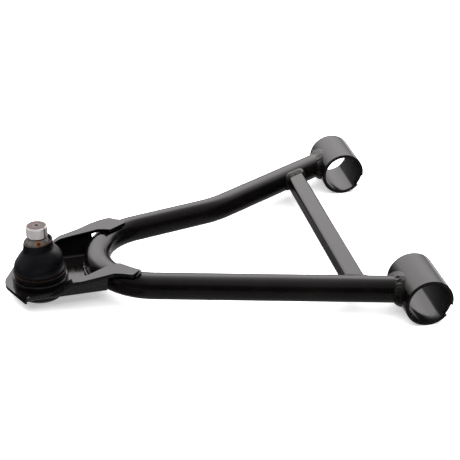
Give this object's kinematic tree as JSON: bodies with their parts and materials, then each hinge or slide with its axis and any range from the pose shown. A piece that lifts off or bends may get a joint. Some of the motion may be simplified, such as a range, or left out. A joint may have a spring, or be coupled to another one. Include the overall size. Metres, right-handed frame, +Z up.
{
  "type": "suspension control arm",
  "caption": "Tubular lower control arm: one bent tube with pivot sleeves, a cross brace and a pressed pan that carries a booted ball joint.",
  "frame": {"origin": "centre of the front pivot sleeve's bore", "axes": "+Y along the pivot axis from the front sleeve to the rear sleeve, +X away from the ball joint, +Z up along the ball stud"},
  "size_m": [0.3467, 0.2895, 0.0636],
  "materials": {
    "black_paint": "gloss",
    "weld_paint": "gloss",
    "housing_paint": "satin",
    "zinc_plate": "satin",
    "spring_steel": "satin",
    "seat_plastic": "matte",
    "boot_rubber": "satin",
    "machined_steel": "machined"
  },
  "bodies": {
    "arm": {"main_tube": "black_paint", "cross_brace": "black_paint", "ball_joint_plate": "black_paint", "front_sleeve": "black_paint", "rear_sleeve": "black_paint", "front_sleeve_weld": "weld_paint", "rear_sleeve_weld": "weld_paint", "brace_front_weld": "weld_paint", "brace_rear_weld": "weld_paint", "plate_front_weld": "weld_paint", "plate_rear_weld": "weld_paint", "plate_floor_weld": "weld_paint", "joint_housing": "housing_paint", "closing_plate": "zinc_plate", "housing_snap_ring": "spring_steel", "lower_bearing_seat": "seat_plastic", "upper_bearing_seat": "seat_plastic", "boot_lower_ring": "spring_steel"},
    "boot": {"dust_boot": "boot_rubber"},
    "boot_collar": {"boot_upper_ring": "spring_steel"},
    "stud": {"ball_stud": "machined_steel"}
  },
  "joints": [
    {"name": "stud_tilt_fore_aft", "type": "hinge", "parent": "arm", "child": "boot", "pos_m": [-0.2975, 0.0908, -0.0045], "axis": [1, 0, 0], "range_deg": [-12, 12], "deforming": ["dust_boot"]},
    {"name": "stud_tilt_side", "type": "hinge", "parent": "boot", "child": "boot_collar", "pos_m": [-0.2975, 0.0908, -0.0045], "axis": [0, 1, 0], "range_deg": [-22, 22]},
    {"name": "stud_spin", "type": "hinge", "parent": "boot_collar", "child": "stud", "pos_m": [-0.2975, 0.0908, -0.0045], "axis": [0, 0, 1], "continuous": true}
  ]
}
